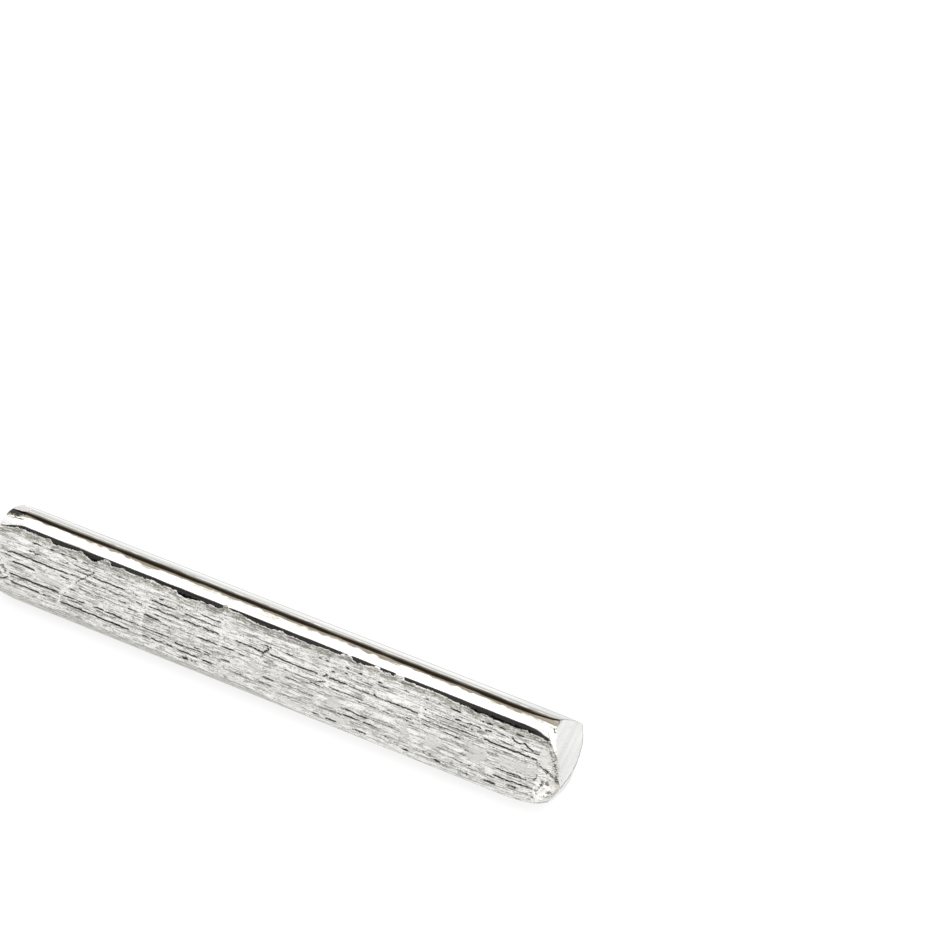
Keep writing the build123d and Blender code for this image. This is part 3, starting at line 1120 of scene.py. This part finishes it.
def tin_material(finish):
    """Bright cast tin with its dull skin, dark oxide and tarnish, and with painted shade, painted dark
    reflections and painted highlights in its colour.
    """
    material, shader = new_material("cast_tin")
    tree = material.node_tree
    place = tree.nodes.new("ShaderNodeTexCoord").outputs["Object"]
    grains = {name: grain(tree, place, *form) for name, form in GRAINS.items()}
    mottle = grains["mottle"]
    specks = grains["specks"]
    marks = skin_marks(tree, grains)
    texture = marks["texture"]
    strokes = blade_strokes(tree, place)
    facet = painted(tree, "facet")
    dross = painted(tree, "dross")
    covered = torn(tree, painted(tree, "skin"), specks, 0.8, 0.35, 0.65)
    lines = torn(tree, dross, specks, 1.8, 0.3, 0.6)
    facet_colour = blend(tree, remapped(tree, strokes, 0.35, 0.65), *FACET_TONES)
    colour = coats(
        tree,
        clean_colour(tree, finish, grains, texture),
        (covered, 1, skin_colour(tree, finish, grains, marks)),
        (painted(tree, "creased"), 0.5, tuple(finish.olive_tarnish)),
        (facet, 1, facet_colour),
        # Dark lines at the facet borders and ridges: burr with painted shade
        (torn(tree, painted(tree, "rim"), mottle, 1.5, 0.3, 0.6), 0.75, RIM_TONE),
        # Grey fringe and dark lines: oxide, painted groove shade and painted dark reflections
        (dross, 0.35, FRINGE_TONE),
        (lines, 0.95, tuple(finish.seam_dross_and_painted_shade)),
    )
    roughness = coats(
        tree,
        0.1,
        (covered, 1, blend(tree, mottle, 0.22, 0.42)),
        (painted(tree, "outline"), 1, 0.3),
        (facet, 1, 0.32),
    )
    metallic = coats(
        tree,
        1.0,
        (covered, 1, blend(tree, marks["crests"], 0.6, 0.3)),
        # Pale metal is near matt, so the painted highlight wedges read white
        (painted(tree, "pale"), 1, 0.1),
        (lines, 1, 1.0),
    )
    tree.links.new(colour, shader.inputs["Base Color"])
    tree.links.new(roughness, shader.inputs["Roughness"])
    tree.links.new(metallic, shader.inputs["Metallic"])

    skin_rise = product(tree, texture, blend(tree, marks["lively"], 0.3, 1.0))
    skin_rise = product(tree, skin_rise, blend(tree, marks["crumpled"], 1.0, 2.0))
    skin_rise = product(tree, skin_rise, blend(tree, painted(tree, "pale"), 1.0, 0.4))
    rise = blend(tree, facet, skin_rise, product(tree, strokes, 0.08))
    clean_share = blend(tree, painted(tree, "brown"), 0.015, 0.045)
    amount = blend(tree, covered, blend(tree, facet, clean_share, 1.0), 1.0)
    bump = tree.nodes.new("ShaderNodeBump")
    bump.inputs["Strength"].default_value = 1.0
    bump.inputs["Distance"].default_value = BUMP_DISTANCE
    tree.links.new(product(tree, rise, amount), bump.inputs["Height"])
    tree.links.new(bump.outputs["Normal"], shader.inputs["Normal"])
    return material


def floor_material(stage):
    """A matt pale floor."""
    material, shader = new_material("pale_floor")
    shader.inputs["Base Color"].default_value = (*stage.floor_colour, 1)
    shader.inputs["Roughness"].default_value = 0.9
    shader.inputs["Specular IOR Level"].default_value = 0.1
    shader.inputs["Emission Color"].default_value = (1, 1, 1, 1)
    shader.inputs["Emission Strength"].default_value = stage.floor_glow
    return material


# Operators

class INGOT_OT_bar(bpy.types.Operator):
    """Build the cast and cropped bar as one closed skin"""

    bl_idname = "ingot.bar"
    bl_label = "Build the bar"

    def execute(self, context):
        surface = IngotSurface(context.scene)
        mesh = closed_mesh("cast_bar", *surface.build())
        shade(mesh, CREASE_ANGLE)
        bar = bpy.data.objects.new("cast_bar", mesh)
        context.scene.collection.objects.link(bar)
        mesh.materials.append(tin_material(context.scene.ingot_finish))
        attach(bar, "root")
        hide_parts("tin_ingot")
        return {"FINISHED"}


class INGOT_OT_stage(bpy.types.Operator):
    """Lay the pale floor, light it softly and place the camera"""

    bl_idname = "ingot.stage"
    bl_label = "Set the stage"

    def execute(self, context):
        stage = context.scene.ingot_stage
        lay_floor(context, stage)
        light_room(context)
        place_camera(context, stage)
        context.scene.view_settings.view_transform = "Standard"
        return {"FINISHED"}


def lay_floor(context, stage):
    """One square of floor, level with the bar's underside."""
    half = stage.floor_size / 2
    mesh = bpy.data.meshes.new("floor")
    corners = [(-half, -half, 0), (half, -half, 0), (half, half, 0), (-half, half, 0)]
    mesh.from_pydata(corners, [], [(0, 1, 2, 3)])
    mesh.materials.append(floor_material(stage))
    floor = bpy.data.objects.new("floor", mesh)
    context.scene.collection.objects.link(floor)


def belt_colours(tree, height, stops):
    """The room's colour by the sine of the elevation, from stops in degrees."""
    node = tree.nodes.new("ShaderNodeValToRGB")
    ramp = node.color_ramp
    ramp.elements[0].position = 0.0
    ramp.elements[0].color = (*stops[0][1], 1)
    ramp.elements[1].position = math.sin(math.radians(stops[-1][0]))
    ramp.elements[1].color = (*stops[-1][1], 1)
    for degrees, colour in stops[1:-1]:
        stop = ramp.elements.new(math.sin(math.radians(degrees)))
        stop.color = (*colour, 1)
    tree.links.new(height, node.inputs["Fac"])
    return node.outputs["Color"]


def light_room(context):
    """A room that is bright overhead and at the right, with a dark belt elsewhere.

    The camera sees an even backdrop in its place.
    """
    world = bpy.data.worlds.new("studio")
    context.scene.world = world
    world.use_nodes = True
    tree = world.node_tree
    tree.nodes.clear()
    output = tree.nodes.new("ShaderNodeOutputWorld")
    direction = tree.nodes.new("ShaderNodeTexCoord")
    split = tree.nodes.new("ShaderNodeSeparateXYZ")
    tree.links.new(direction.outputs["Generated"], split.inputs["Vector"])
    front = belt_colours(tree, split.outputs["Z"], FRONT_BELTS)
    back = belt_colours(tree, split.outputs["Z"], BACK_BELTS)
    behind = remapped(tree, split.outputs["Y"], -0.2, 0.2)
    right_side = remapped(tree, split.outputs["X"], 0.1, 0.4)
    room_colour = blend(tree, right_side, blend(tree, behind, front, back), (1.0, 1.0, 1.0))
    room = tree.nodes.new("ShaderNodeBackground")
    room.inputs["Strength"].default_value = ROOM_STRENGTH
    tree.links.new(room_colour, room.inputs["Color"])
    backdrop = tree.nodes.new("ShaderNodeBackground")
    backdrop.inputs["Color"].default_value = (*BACKDROP, 1)
    seen = tree.nodes.new("ShaderNodeLightPath")
    mix = tree.nodes.new("ShaderNodeMixShader")
    tree.links.new(seen.outputs["Is Camera Ray"], mix.inputs["Fac"])
    tree.links.new(room.outputs["Background"], mix.inputs[1])
    tree.links.new(backdrop.outputs["Background"], mix.inputs[2])
    tree.links.new(mix.outputs["Shader"], output.inputs["Surface"])


def place_camera(context, stage):
    """The camera looks along its azimuth and elevation, and stands so that the
    bar's centre falls on its pixel."""
    a = stage.view_azimuth
    e = stage.view_elevation
    back = Vector((math.sin(a) * math.cos(e), -math.cos(a) * math.cos(e), math.sin(e)))
    right = Vector((math.cos(a), math.sin(a), 0))
    up = back.cross(right)
    focal_pixels = stage.lens / SENSOR_WIDTH * IMAGE_SIZE
    across = (BAR_CENTRE_PIXEL[0] - IMAGE_SIZE / 2) / focal_pixels
    down = (BAR_CENTRE_PIXEL[1] - IMAGE_SIZE / 2) / focal_pixels
    sight = (-back + right * across - up * down).normalized()
    camera_data = bpy.data.cameras.new("camera")
    camera_data.lens = stage.lens
    camera_data.sensor_width = SENSOR_WIDTH
    camera_data.clip_start = CLIP_START
    camera_data.clip_end = CLIP_END
    camera = bpy.data.objects.new("camera", camera_data)
    turn = Matrix((right, up, back)).transposed()
    place = Vector((0, 0, BAR_CENTRE_HEIGHT)) - sight * stage.view_distance
    camera.matrix_world = Matrix.Translation(place) @ turn.to_4x4()
    context.scene.collection.objects.link(camera)
    context.scene.camera = camera


class INGOT_PT_sidebar(bpy.types.Panel):
    """Sizes, colours and steps of the ingot"""

    bl_label = "Tin ingot"
    bl_space_type = "VIEW_3D"
    bl_region_type = "UI"
    bl_category = "Ingot"

    def draw(self, context):
        scene = context.scene
        for group_name in GROUPS:
            group = getattr(scene, group_name)
            box = self.layout.box()
            for name in group.__annotations__:
                box.prop(group, name)
        self.layout.operator(INGOT_OT_bar.bl_idname)
        self.layout.operator(INGOT_OT_stage.bl_idname)


GROUPS = {
    "ingot_section": IngotSection,
    "ingot_ends": IngotEnds,
    "ingot_skin": IngotSkin,
    "ingot_finish": IngotFinish,
    "ingot_stage": IngotStage,
}
CLASSES = (*GROUPS.values(), INGOT_OT_bar, INGOT_OT_stage, INGOT_PT_sidebar)


def register():
    for cls in CLASSES:
        bpy.utils.register_class(cls)
    for name, group in GROUPS.items():
        setattr(bpy.types.Scene, name, bpy.props.PointerProperty(type=group))


def unregister():
    for name in GROUPS:
        delattr(bpy.types.Scene, name)
    for cls in reversed(CLASSES):
        bpy.utils.unregister_class(cls)


def main():
    register()
    bpy.ops.ingot.bar()
    bpy.ops.ingot.stage()


if __name__ == "__main__":
    main()
